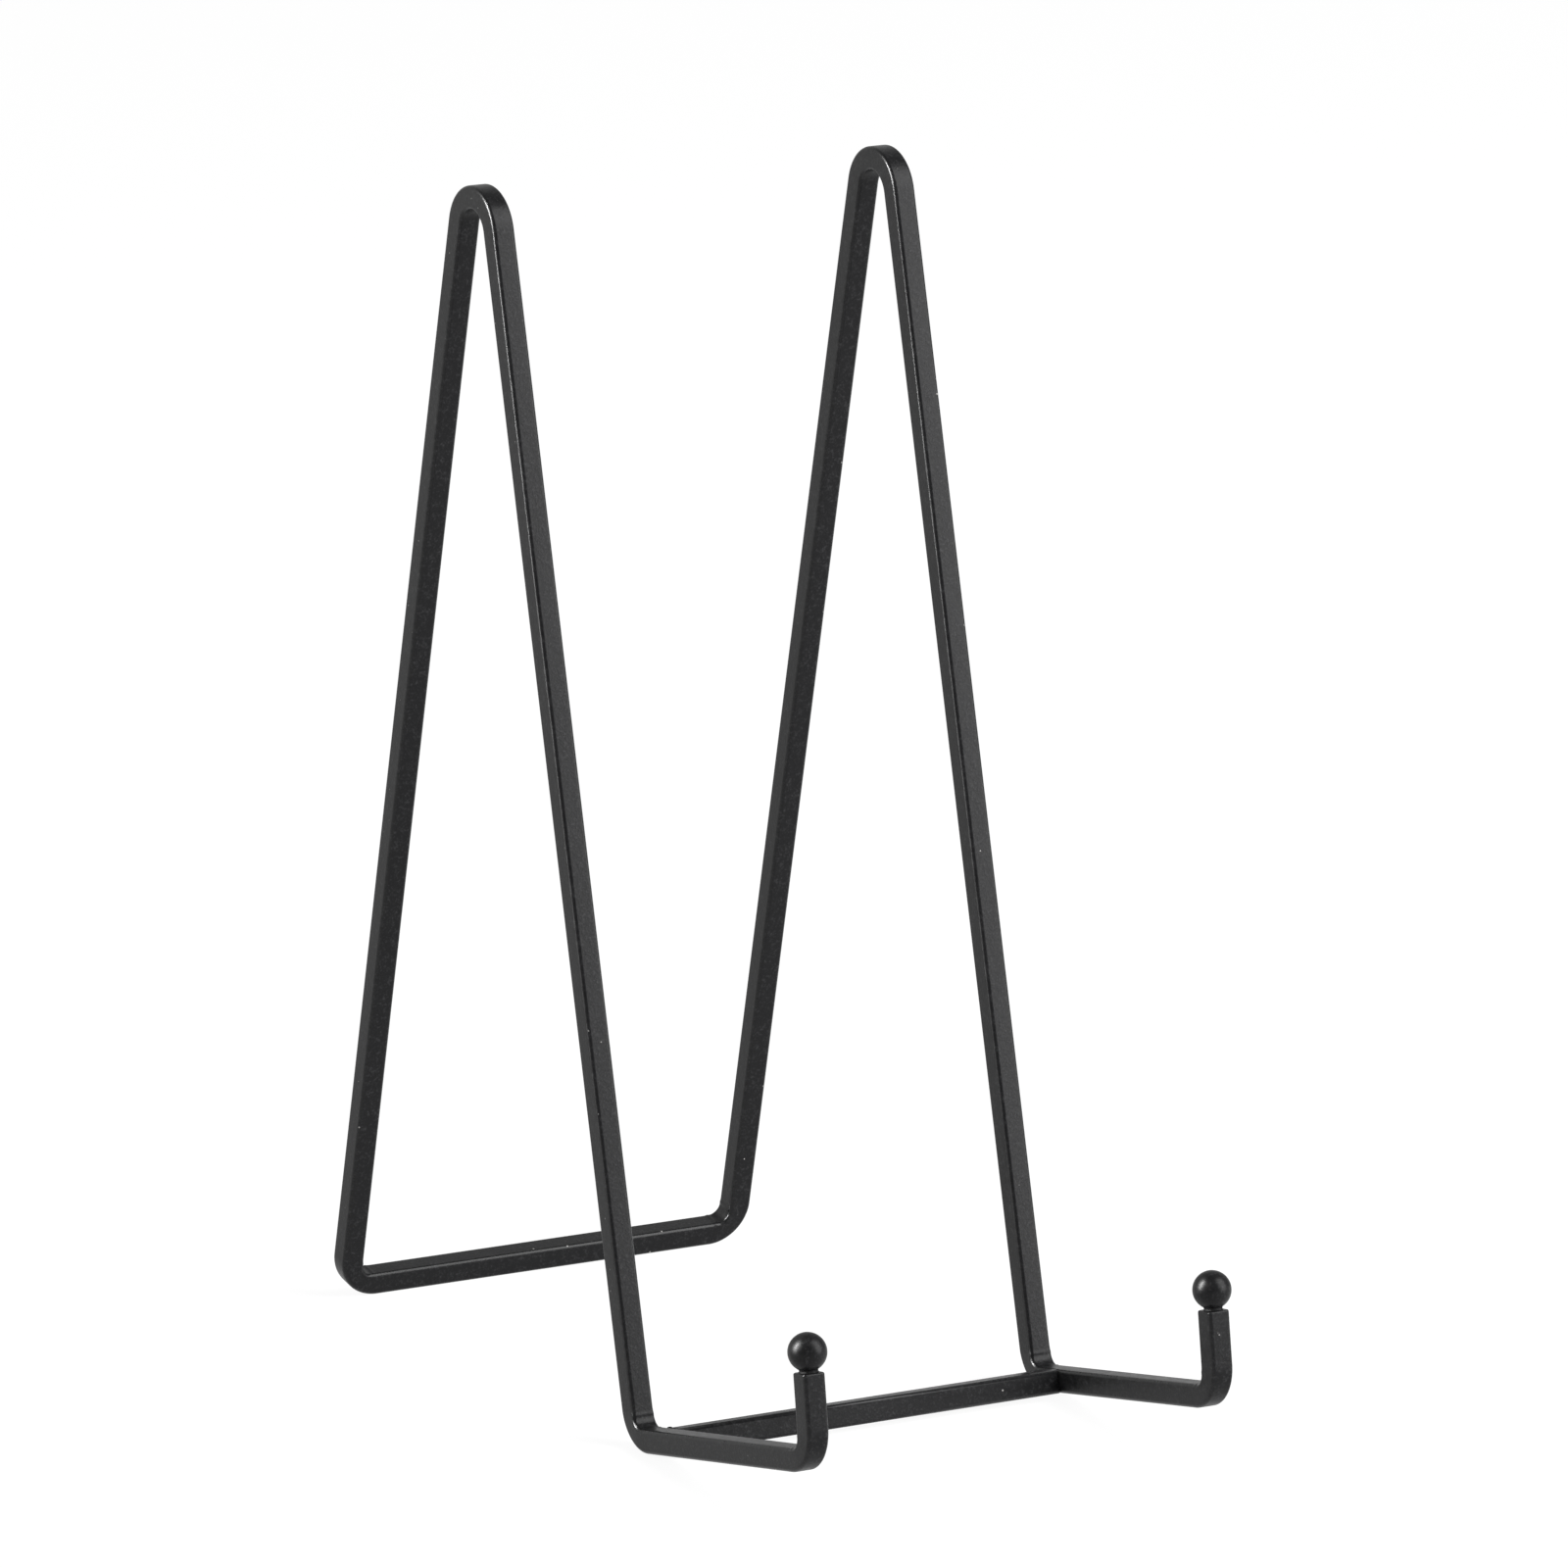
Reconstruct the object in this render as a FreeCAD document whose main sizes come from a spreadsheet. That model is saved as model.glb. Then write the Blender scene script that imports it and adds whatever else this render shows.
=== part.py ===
"""Plate display stand: one square bar bent eight times, a crossbar, two balls and their welds.

The stand rests on its two front bends and on its rear crossbar. X runs across the stand, Y from the lips
to the rear, Z up. The origin is on the floor, under the middle of the stand. Lengths are in millimetres,
angles in degrees.
"""
import FreeCAD, Part
import math
import os

import Sketcher

# alias, value, what it is
SIZES = [
    ("overall_height", 250.0, "floor to the top of the arches"),
    ("overall_width", 99.5, "across the outer faces of the two sides"),
    ("bar_size", 5.0, "side of the square bar"),
    ("bar_edge_radius", 0.8, "rounding along the bar's four edges"),
    ("bend_radius", 6.5, "to the bar's middle, in the lip, front and rear bends"),
    ("arch_radius", 7.6, "to the bar's middle, in the two arches"),
    ("front_lean", 14.1, "front legs, back from the vertical"),
    ("rear_lean", 12.6, "rear legs, forward from the vertical"),
    ("foot_rise", 11.0, "feet, up from the floor towards the lips"),
    ("foot_reach", 67.5, "from the middle of the front bends to the front of the lips"),
    ("lip_length", 11.5, "straight part of each lip, above its bend"),
    ("lip_lean", 8.5, "lips, back from the vertical"),
    ("tip_edge_radius", 0.4, "rounding around the cut end of each lip"),
    ("crossbar_setback", 4.2, "from the front bends' end to the crossbar's middle, along the feet"),
    ("crossbar_weld_leg", 1.0, "each leg of the weld bead behind the crossbar"),
    ("ball_diameter", 8.0, "balls on the lips"),
    ("ball_standoff", 0.1, "from the lip's cut end to the ball's lowest point"),
    ("ball_weld_diameter", 3.8, "neck of weld metal under each ball"),
]

START, END, CENTRE = 1, 2, 3  # a sketch line's or arc's own points
ORIGIN = (-1, START)  # a sketch's origin point
UPRIGHT_AXIS = -2  # a sketch's vertical axis
X_AXIS = FreeCAD.Vector(1, 0, 0)
SIDES = {"left": -1, "right": 1}
VOLUME_TOLERANCE = 0.01  # share of the bar's volume
PLANE_TOLERANCE = 0.00001  # how far a point may be from a plane that it lies in


def add_sheet(doc):
    """The driving dimensions, one row each: the note, then the number with its alias."""
    sheet = doc.addObject("Spreadsheet::Sheet", "sizes")
    for row, (alias, value, note) in enumerate(SIZES, start=1):
        sheet.set(f"A{row}", note)
        sheet.set(f"B{row}", str(value))
        sheet.setAlias(f"B{row}", alias)
    doc.recompute()
    return sheet


def add_body(doc, label):
    body = doc.addObject("PartDesign::Body", label)
    body.Label = label
    return body


def origin_plane(body, role):
    return next(feature for feature in body.Origin.OriginFeatures if feature.Role == role)


def add_sketch(body, name, role):
    """An empty sketch on one of the body's own origin planes."""
    sketch = body.newObject("Sketcher::SketchObject", name)
    sketch.AttachmentSupport = [(origin_plane(body, role), "")]
    sketch.MapMode = "FlatFace"
    return sketch


def bind(item, bindings):
    for path, expression in bindings.items():
        item.setExpression(path, expression)


def tilt_about_x(item, prop, sign, angle, base):
    """Place an item by its base expressions, turned about X by an angle from the sheet.

    The turn starts as one degree, because a placement that isn't turned forgets its axis.
    """
    setattr(item, prop, FreeCAD.Placement(FreeCAD.Vector(), FreeCAD.Rotation(X_AXIS * sign, 1)))
    bind(item, {f"{prop}.Rotation.Angle": angle})
    bind(item, {f"{prop}.Base.{axis}": expression for axis, expression in base.items()})


def constrain(sketch, *parts):
    return sketch.addConstraint(Sketcher.Constraint(*parts))


def dimension(sketch, name, expression, *parts):
    """A named dimension that follows the sheet."""
    index = constrain(sketch, *parts)
    sketch.renameConstraint(index, name)
    sketch.setExpression(f"Constraints.{name}", expression)


def reference(sketch, name, *parts):
    """A named measurement that other pieces read. It drives nothing here."""
    index = constrain(sketch, *parts)
    sketch.setDriving(index, False)
    sketch.renameConstraint(index, name)


def add_arc(sketch, centre, radius, first, last):
    """An arc drawn anticlockwise between two directions, in degrees."""
    circle = Part.Circle(FreeCAD.Vector(*centre, 0), FreeCAD.Vector(0, 0, 1), radius)
    return sketch.addGeometry(Part.ArcOfCircle(circle, math.radians(first), math.radians(last)))


def add_line(sketch, start, end):
    return sketch.addGeometry(Part.LineSegment(FreeCAD.Vector(*start, 0), FreeCAD.Vector(*end, 0)))


def quarter_turns(x, y, quarters):
    """The point turned anticlockwise about the origin by a number of quarters."""
    for _ in range(quarters):
        x, y = -y, x
    return x, y


def draw_bar_section(sketch, sheet):
    """The square bar's section, centred on the sketch's origin, with its four edges rounded."""
    half = sheet.bar_size / 2
    inner = half - sheet.bar_edge_radius
    arcs, lines = [], []
    for quarter in range(4):
        # Each corner and side is the first one, turned about the middle of the section.
        corner = quarter_turns(inner, inner, quarter)
        first = 90 * quarter
        arcs.append(add_arc(sketch, corner, sheet.bar_edge_radius, first, first + 90))
        lines.append(add_line(
            sketch, quarter_turns(inner, half, quarter), quarter_turns(-inner, half, quarter),
        ))
    for quarter in range(4):
        following = (quarter + 1) % 4
        constrain(sketch, "Tangent", arcs[quarter], END, lines[quarter], START)
        constrain(sketch, "Tangent", lines[quarter], END, arcs[following], START)
        constrain(sketch, "Vertical" if quarter % 2 else "Horizontal", lines[quarter])
    for arc in arcs[1:]:
        constrain(sketch, "Equal", arcs[0], arc)
    constrain(sketch, "Symmetric", arcs[0], CENTRE, arcs[2], CENTRE, *ORIGIN)
    top, left, bottom, right = lines
    dimension(sketch, "edge_radius", "sizes.bar_edge_radius", "Radius", arcs[0], sheet.bar_edge_radius)
    dimension(sketch, "width", "sizes.bar_size", "DistanceX", left, START, right, START, sheet.bar_size)
    dimension(sketch, "depth", "sizes.bar_size", "DistanceY", bottom, START, top, START, sheet.bar_size)


def draw_side_path(sketch, sheet):
    """The middle line of one side, seen from its right: sketch x is Y, sketch y is Z.

    It runs from the rear bend up the rear leg, over the arch, down the front leg, through the front bend and
    along the foot to the lip. The front bend's lowest point touches the floor at y = 0.
    """
    half = sheet.bar_size / 2
    rear, front = math.radians(sheet.rear_lean), math.radians(sheet.front_lean)
    rise, lip = math.radians(sheet.foot_rise), math.radians(sheet.lip_lean)
    bend, arch = sheet.bend_radius, sheet.arch_radius

    # Arc centres, from the floor up.
    front_centre = (0, bend + half)
    lip_y = half + bend - sheet.foot_reach
    lip_centre = (lip_y, front_centre[1] - lip_y * math.tan(rise))
    arch_z = sheet.overall_height - half - arch
    leg_run = (arch_z - front_centre[1] + (arch + bend) * math.sin(front)) / math.cos(front)
    arch_centre = (leg_run * math.sin(front) + (arch + bend) * math.cos(front), arch_z)

    def on_arc(centre, radius, degrees):
        angle = math.radians(degrees)
        return (centre[0] + radius * math.cos(angle), centre[1] + radius * math.sin(angle))

    # Directions from each arc's centre to its ends.
    arch_from, arch_to = sheet.rear_lean, 180 - sheet.front_lean
    front_from, front_to = 270 - sheet.foot_rise, 360 - sheet.front_lean
    lip_from, lip_to = 180 - sheet.lip_lean, 270 - sheet.foot_rise

    arch_start = on_arc(arch_centre, arch, arch_from)
    rear_run = (arch_start[1] - half - bend) / math.cos(rear)
    rear_end = (arch_start[0] + rear_run * math.sin(rear), arch_start[1] - rear_run * math.cos(rear))
    lip_start = on_arc(lip_centre, bend, lip_from)
    tip = (
        lip_start[0] + sheet.lip_length * math.sin(lip),
        lip_start[1] + sheet.lip_length * math.cos(lip),
    )

    rear_leg = add_line(sketch, rear_end, arch_start)
    arch_arc = add_arc(sketch, arch_centre, arch, arch_from, arch_to)
    front_leg = add_line(sketch, on_arc(arch_centre, arch, arch_to), on_arc(front_centre, bend, front_to))
    front_arc = add_arc(sketch, front_centre, bend, front_from, front_to)
    foot = add_line(sketch, on_arc(front_centre, bend, front_from), on_arc(lip_centre, bend, lip_to))
    lip_arc = add_arc(sketch, lip_centre, bend, lip_from, lip_to)
    lip_line = add_line(sketch, lip_start, tip)

    constrain(sketch, "Tangent", rear_leg, END, arch_arc, START)
    constrain(sketch, "Tangent", arch_arc, END, front_leg, START)
    constrain(sketch, "Tangent", front_leg, END, front_arc, END)
    constrain(sketch, "Tangent", front_arc, START, foot, START)
    constrain(sketch, "Tangent", foot, END, lip_arc, END)
    constrain(sketch, "Tangent", lip_arc, START, lip_line, START)
    constrain(sketch, "PointOnObject", front_arc, CENTRE, UPRIGHT_AXIS)

    dimension(sketch, "arch_radius", "sizes.arch_radius", "Radius", arch_arc, arch)
    dimension(sketch, "front_radius", "sizes.bend_radius", "Radius", front_arc, bend)
    dimension(sketch, "lip_radius", "sizes.bend_radius", "Radius", lip_arc, bend)
    # Each angle is measured from the sketch's x axis to the line's own direction.
    dimension(sketch, "rear_angle", "90 + sizes.rear_lean", "Angle", rear_leg, math.pi / 2 + rear)
    dimension(sketch, "front_angle", "-90 - sizes.front_lean", "Angle", front_leg, -math.pi / 2 - front)
    dimension(sketch, "foot_angle", "180 - sizes.foot_rise", "Angle", foot, math.pi - rise)
    dimension(sketch, "lip_angle", "90 - sizes.lip_lean", "Angle", lip_line, math.pi / 2 - lip)
    dimension(
        sketch, "front_centre_z", "sizes.bend_radius + sizes.bar_size / 2",
        "DistanceY", *ORIGIN, front_arc, CENTRE, front_centre[1],
    )
    dimension(
        sketch, "arch_centre_z", "sizes.overall_height - sizes.arch_radius - sizes.bar_size / 2",
        "DistanceY", *ORIGIN, arch_arc, CENTRE, arch_z,
    )
    dimension(
        sketch, "lip_centre_back", "sizes.foot_reach - sizes.bend_radius - sizes.bar_size / 2",
        "DistanceX", lip_arc, CENTRE, *ORIGIN, -lip_y,
    )
    dimension(sketch, "lip_length", "sizes.lip_length", "Distance", lip_line, sheet.lip_length)
    # The rear crossbar is turned with the rear legs, so it stands on one rounded edge. This is its
    # middle's height.
    edge_height = (
        "(sizes.bar_size / 2 - sizes.bar_edge_radius) * (cos(sizes.rear_lean) + sin(sizes.rear_lean))"
        " + sizes.bar_edge_radius"
    )
    dimension(
        sketch, "rear_end_z", f"{edge_height} + sizes.bend_radius * cos(sizes.rear_lean)",
        "DistanceY", *ORIGIN, rear_leg, START, rear_end[1],
    )
    reference(sketch, "rear_end_y", "DistanceX", *ORIGIN, rear_leg, START, rear_end[0])
    reference(sketch, "tip_back", "DistanceX", lip_line, END, *ORIGIN, -tip[0])
    reference(sketch, "tip_z", "DistanceY", *ORIGIN, lip_line, END, tip[1])


def draw_rear_path(sketch, sheet):
    """The middle line of the rear crossbar with its two bends, in the plane of the rear legs.

    The sketch's origin is the crossbar's middle.
    """
    bend = sheet.bend_radius
    reach = (sheet.overall_width - sheet.bar_size) / 2
    left_arc = add_arc(sketch, (bend - reach, bend), bend, 180, 270)
    middle = add_line(sketch, (bend - reach, 0), (reach - bend, 0))
    right_arc = add_arc(sketch, (reach - bend, bend), bend, 270, 360)
    constrain(sketch, "Tangent", left_arc, END, middle, START)
    constrain(sketch, "Tangent", middle, END, right_arc, START)
    constrain(sketch, "Horizontal", middle)
    constrain(sketch, "Equal", left_arc, right_arc)
    constrain(sketch, "Horizontal", left_arc, START, left_arc, CENTRE)
    constrain(sketch, "Horizontal", right_arc, CENTRE, right_arc, END)
    constrain(sketch, "Symmetric", middle, START, middle, END, *ORIGIN)
    dimension(sketch, "radius", "sizes.bend_radius", "Radius", left_arc, bend)
    dimension(
        sketch, "span", "sizes.overall_width - sizes.bar_size",
        "DistanceX", left_arc, START, right_arc, END, 2 * reach,
    )


def add_pipe(body, name, section, path):
    pipe = body.newObject("PartDesign::AdditivePipe", name)
    pipe.Profile = (section, [""])
    pipe.Spine = (path, [f"Edge{index + 1}" for index in range(path.GeometryCount)])
    pipe.Refine = True
    return pipe


def tip_edges(shape, tip, direction):
    """Names of the edges around the cut ends.

    They are the edges in the stand's lower half that lie in the plane through the tip, square to the lip.
    """
    middle_height = shape.BoundBox.ZMax / 2
    names = []
    for number, edge in enumerate(shape.Edges, start=1):
        points = [vertex.Point for vertex in edge.Vertexes]
        in_plane = all(abs((point - tip).dot(direction)) < PLANE_TOLERANCE for point in points)
        if in_plane and all(point.z < middle_height for point in points):
            names.append(f"Edge{number}")
    return names


def make_frame_bar(doc, sheet):
    """The one long bar: lip, foot, front leg, arch and rear leg of each side, joined by the rear crossbar.

    It is made as the rear crossbar with its bends, one side, and that side's mirror image.
    """
    body = add_body(doc, "frame_bar")

    side_path = add_sketch(body, "side_path", "YZ_Plane")
    draw_side_path(side_path, sheet)
    bind(side_path, {"AttachmentOffset.Base.z": "-(sizes.overall_width - sizes.bar_size) / 2"})
    doc.recompute()

    section = add_sketch(body, "bar_section", "XY_Plane")
    draw_bar_section(section, sheet)
    base = {
        "x": "-(sizes.overall_width - sizes.bar_size) / 2",
        "y": "side_path.Constraints.rear_end_y",
        "z": "side_path.Constraints.rear_end_z",
    }
    tilt_about_x(section, "AttachmentOffset", 1, "sizes.rear_lean", base)

    rear_path = add_sketch(body, "rear_path", "XZ_Plane")
    draw_rear_path(rear_path, sheet)
    # On this plane the sketch's y is Z and its z points to the front.
    base = {
        "y": "side_path.Constraints.rear_end_z - 1 mm * sizes.bend_radius * cos(sizes.rear_lean)",
        "z": "-side_path.Constraints.rear_end_y - 1 mm * sizes.bend_radius * sin(sizes.rear_lean)",
    }
    tilt_about_x(rear_path, "AttachmentOffset", 1, "sizes.rear_lean", base)
    doc.recompute()

    add_pipe(body, "rear_crossbar", section, rear_path)
    left_side = add_pipe(body, "left_side", section, side_path)
    doc.recompute()
    right_side = body.newObject("PartDesign::Mirrored", "right_side")
    right_side.Originals = [left_side]
    right_side.MirrorPlane = (origin_plane(body, "YZ_Plane"), [""])
    body.Tip = right_side
    doc.recompute()

    lean = math.radians(sheet.lip_lean)
    direction = FreeCAD.Vector(0, math.sin(lean), math.cos(lean))
    tip = FreeCAD.Vector(0, -side_path.getDatum("tip_back").Value, side_path.getDatum("tip_z").Value)
    rounding = body.newObject("PartDesign::Fillet", "tip_rounding")
    rounding.Base = (right_side, tip_edges(right_side.Shape, tip, direction))
    rounding.setExpression("Radius", "sizes.tip_edge_radius")
    body.Tip = rounding
    # The lips' bends reach furthest forward and the rear crossbar's rounded edge furthest back.
    rear_edge = (
        "side_path.Constraints.rear_end_y + 1 mm * (sizes.bend_radius * sin(sizes.rear_lean)"
        " + (sizes.bar_size / 2 - sizes.bar_edge_radius) * (cos(sizes.rear_lean) + sin(sizes.rear_lean))"
        " + sizes.bar_edge_radius)"
    )
    body.setExpression("Placement.Base.y", f"(sizes.foot_reach * 1 mm - ({rear_edge})) / 2")
    return body


def make_front_crossbar(doc, sheet):
    """Straight bar between the feet's inner faces, turned with them so that its faces are flush with theirs."""
    body = add_body(doc, "front_crossbar")
    section = add_sketch(body, "crossbar_section", "YZ_Plane")
    draw_bar_section(section, sheet)
    pad = body.newObject("PartDesign::Pad", "crossbar_run")
    pad.Profile = (section, [""])
    pad.SideType = "Symmetric"
    pad.setExpression("Length", "sizes.overall_width - 2 * sizes.bar_size")
    # The feet's middle line leaves the front bend here, and the crossbar's middle is further along it.
    base = {
        "y": "frame_bar.Placement.Base.y - 1 mm * (sizes.bend_radius * sin(sizes.foot_rise)"
        " + sizes.crossbar_setback * cos(sizes.foot_rise))",
        "z": "sizes.bar_size / 2 + sizes.bend_radius * (1 - cos(sizes.foot_rise))"
        " + sizes.crossbar_setback * sin(sizes.foot_rise)",
    }
    tilt_about_x(body, "Placement", -1, "sizes.foot_rise", base)
    return body


def make_crossbar_weld(doc, sheet, side):
    """A hollow-faced bead in the upright corner between the crossbar's rear face and one foot's inner face.

    Its own origin is that corner, half way up, with its y square to the crossbar.
    """
    body = add_body(doc, f"{side}_crossbar_weld")
    inward = -SIDES[side]
    leg = sheet.crossbar_weld_leg
    sketch = add_sketch(body, f"{side}_bead_section", "XY_Plane")
    corner, on_bar, on_foot = (0, 0), (inward * leg, 0), (0, leg)
    along_bar = add_line(sketch, corner, on_bar)
    along_foot = add_line(sketch, on_foot, corner)
    first = 180 if inward > 0 else 270
    face = add_arc(sketch, (inward * leg, leg), leg, first, first + 90)
    bar_end, foot_end = (END, START) if inward > 0 else (START, END)
    constrain(sketch, "Coincident", along_bar, START, *ORIGIN)
    constrain(sketch, "Coincident", along_foot, END, *ORIGIN)
    constrain(sketch, "Tangent", along_bar, END, face, bar_end)
    constrain(sketch, "Tangent", along_foot, START, face, foot_end)
    constrain(sketch, "Horizontal", along_bar)
    constrain(sketch, "Vertical", along_foot)
    dimension(sketch, "leg", "sizes.crossbar_weld_leg", "Radius", face, leg)
    pad = body.newObject("PartDesign::Pad", f"{side}_bead")
    pad.Profile = (sketch, [""])
    pad.SideType = "Symmetric"
    pad.setExpression("Length", "sizes.bar_size - 2 * sizes.bar_edge_radius")
    base = {
        "x": f"{SIDES[side]} * (sizes.overall_width / 2 - sizes.bar_size)",
        "y": "front_crossbar.Placement.Base.y + 1 mm * sizes.bar_size / 2 * cos(sizes.foot_rise)",
        "z": "front_crossbar.Placement.Base.z - 1 mm * sizes.bar_size / 2 * sin(sizes.foot_rise)",
    }
    tilt_about_x(body, "Placement", -1, "sizes.foot_rise", base)
    return body


def stand_on_lip(body, side):
    """Put a body's origin at the middle of one lip's cut end, with its Z along the lip."""
    base = {
        "x": f"{SIDES[side]} * (sizes.overall_width - sizes.bar_size) / 2",
        "y": "frame_bar.Placement.Base.y - side_path.Constraints.tip_back",
        "z": "side_path.Constraints.tip_z",
    }
    tilt_about_x(body, "Placement", -1, "sizes.lip_lean", base)


def add_turned(body, name, sketch):
    """The sketch turned once about its own upright axis."""
    turned = body.newObject("PartDesign::Revolution", name)
    turned.Profile = (sketch, [""])
    turned.ReferenceAxis = (sketch, ["V_Axis"])
    turned.Angle = 360


def make_ball(doc, sheet, side):
    """A round ball just above the lip's cut end."""
    body = add_body(doc, f"{side}_ball")
    sketch = add_sketch(body, f"{side}_ball_half", "XZ_Plane")
    radius = sheet.ball_diameter / 2
    middle = sheet.ball_standoff + radius
    arc = add_arc(sketch, (0, middle), radius, -90, 90)
    axis = add_line(sketch, (0, middle + radius), (0, middle - radius))
    constrain(sketch, "Coincident", arc, END, axis, START)
    constrain(sketch, "Coincident", axis, END, arc, START)
    constrain(sketch, "PointOnObject", arc, CENTRE, axis)
    constrain(sketch, "PointOnObject", axis, START, UPRIGHT_AXIS)
    constrain(sketch, "Vertical", axis)
    dimension(sketch, "radius", "sizes.ball_diameter / 2", "Radius", arc, radius)
    dimension(
        sketch, "standoff", "sizes.ball_standoff",
        "DistanceY", *ORIGIN, axis, END, sheet.ball_standoff,
    )
    add_turned(body, f"{side}_ball_turned", sketch)
    stand_on_lip(body, side)
    return body


def make_ball_weld(doc, sheet, side):
    """The neck of weld metal that fills the gap between a lip's cut end and its ball."""
    body = add_body(doc, f"{side}_ball_weld")
    sketch = add_sketch(body, f"{side}_neck_half", "XZ_Plane")
    ball = sheet.ball_diameter / 2
    neck = sheet.ball_weld_diameter / 2
    gap = sheet.ball_standoff
    rim = gap + ball - math.sqrt(ball**2 - neck**2)
    rim_angle = math.degrees(math.acos(neck / ball))
    bottom = add_line(sketch, (0, 0), (neck, 0))
    wall = add_line(sketch, (neck, 0), (neck, rim))
    seat = add_arc(sketch, (0, gap + ball), ball, -90, -rim_angle)
    axis = add_line(sketch, (0, gap), (0, 0))
    constrain(sketch, "Coincident", bottom, START, *ORIGIN)
    constrain(sketch, "Coincident", bottom, END, wall, START)
    constrain(sketch, "Coincident", wall, END, seat, END)
    constrain(sketch, "Coincident", seat, START, axis, START)
    constrain(sketch, "Coincident", axis, END, bottom, START)
    constrain(sketch, "Horizontal", bottom)
    constrain(sketch, "Vertical", wall)
    constrain(sketch, "Vertical", axis)
    constrain(sketch, "PointOnObject", seat, CENTRE, UPRIGHT_AXIS)
    dimension(
        sketch, "neck_radius", "sizes.ball_weld_diameter / 2",
        "DistanceX", bottom, START, bottom, END, neck,
    )
    dimension(sketch, "ball_radius", "sizes.ball_diameter / 2", "Radius", seat, ball)
    dimension(sketch, "gap", "sizes.ball_standoff", "DistanceY", axis, END, axis, START, gap)
    add_turned(body, f"{side}_neck_turned", sketch)
    stand_on_lip(body, side)
    return body


def check_document(doc, bodies):
    """Stop on a failed object, a missing or broken shape, or a piece that isn't one solid."""
    for item in doc.Objects:
        if {"Invalid", "Error"} & set(item.State):
            raise RuntimeError(f"{item.Name} failed: {item.State}")
    for body in bodies:
        shape = body.Shape
        if shape.isNull() or not shape.isValid() or len(shape.Solids) != 1:
            raise RuntimeError(f"{body.Label} isn't one valid solid")


def check_bar_volume(body, sheet):
    """The bent bar's volume is its section times its middle line, less a little at the rounded cut ends."""
    doc = body.Document
    side, rear = doc.getObject("side_path").Shape.Length, doc.getObject("rear_path").Shape.Length
    area = sheet.bar_size**2 - (4 - math.pi) * sheet.bar_edge_radius**2
    expected = area * (2 * side + rear)
    print(f"bar: {2 * side + rear:.1f} mm long, {body.Shape.Volume:.0f} mm3, expected {expected:.0f} mm3")
    if abs(body.Shape.Volume - expected) > VOLUME_TOLERANCE * expected:
        raise RuntimeError("the bent bar's volume is wrong")


def main():
    doc = FreeCAD.newDocument("plate_display_stand")
    sheet = add_sheet(doc)
    bodies = [make_frame_bar(doc, sheet), make_front_crossbar(doc, sheet)]
    for side in SIDES:
        bodies.append(make_crossbar_weld(doc, sheet, side))
        bodies.append(make_ball(doc, sheet, side))
        bodies.append(make_ball_weld(doc, sheet, side))
    doc.recompute()
    check_document(doc, bodies)
    check_bar_volume(bodies[0], sheet)
    os.makedirs("parts", exist_ok=True)
    for body in bodies:
        body.Shape.exportStep(os.path.join("parts", f"{body.Label}.step"))
        box = body.Shape.BoundBox
        print(f"{body.Label}: x {box.XMin:.2f}..{box.XMax:.2f}, y {box.YMin:.2f}..{box.YMax:.2f},"
              f" z {box.ZMin:.2f}..{box.ZMax:.2f}")


main()
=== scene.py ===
# %% [markdown]
# # Plate display stand
# A stand that holds one plate upright on show. The real thing is a single 5 mm square steel bar, bent eight
# times, with a crossbar welded between its feet and a steel ball welded on each lip, all under one satin
# black powder coat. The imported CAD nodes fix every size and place. These cells remodel each piece with the
# marks that making leaves on it, give it its finish, and set up the studio.

# %% [markdown]
# ## Load the frame
# The frame is the stand's CAD model, with one node for each piece. Its sizes could be typed in again from a
# drawing, but the nodes already hold them, so the places below are worked out from their boxes. Blender
# counts in metres, and small sizes are written here as millimetres times MM.

# %% Load the frame
import math

import bmesh
import bpy
from mathutils import Matrix, Vector


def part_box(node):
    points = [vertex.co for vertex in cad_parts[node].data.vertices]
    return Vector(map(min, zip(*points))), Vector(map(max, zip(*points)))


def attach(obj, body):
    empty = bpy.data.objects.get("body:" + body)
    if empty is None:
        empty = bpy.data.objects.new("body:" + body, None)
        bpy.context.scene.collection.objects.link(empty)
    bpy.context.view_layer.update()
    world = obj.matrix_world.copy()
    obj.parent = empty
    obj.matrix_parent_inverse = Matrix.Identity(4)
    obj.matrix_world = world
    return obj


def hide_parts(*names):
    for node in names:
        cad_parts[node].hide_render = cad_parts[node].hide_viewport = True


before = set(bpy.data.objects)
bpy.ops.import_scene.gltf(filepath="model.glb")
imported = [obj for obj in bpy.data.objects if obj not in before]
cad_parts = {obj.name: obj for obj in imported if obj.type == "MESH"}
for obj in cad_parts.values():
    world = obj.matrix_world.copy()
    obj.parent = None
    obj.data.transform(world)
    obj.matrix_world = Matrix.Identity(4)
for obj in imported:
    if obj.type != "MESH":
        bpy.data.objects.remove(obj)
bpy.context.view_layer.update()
MM = 0.001
print("CAD nodes:", sorted(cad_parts))

# %% [markdown]
# ## The camera
# The stand is seen through a long lens from about two and a half metres, so that its legs stay nearly
# parallel. A camera could be moved into place in the viewport, or told to track an empty. Here it gets a
# turn about the upright axis, a rise above the floor, a slight roll and a distance, because those are the
# numbers that someone behind a real camera would think in.

# %% Camera
TURN = math.radians(-29.973)
RISE = math.radians(13.284)
ROLL = math.radians(0.297)
DISTANCE = 2.4847
AIM = Vector((4.205, 2.711, 126.095)) * MM
FOCAL_LENGTH = 277.2
SENSOR_WIDTH = 36
VIEW_END = 20


def towards(turn, rise):
    """The direction of something seen from the stand. Turn 0 is straight in front, and turns go to the right."""
    return Vector((math.sin(turn) * math.cos(rise), -math.cos(turn) * math.cos(rise), math.sin(rise)))


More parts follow.
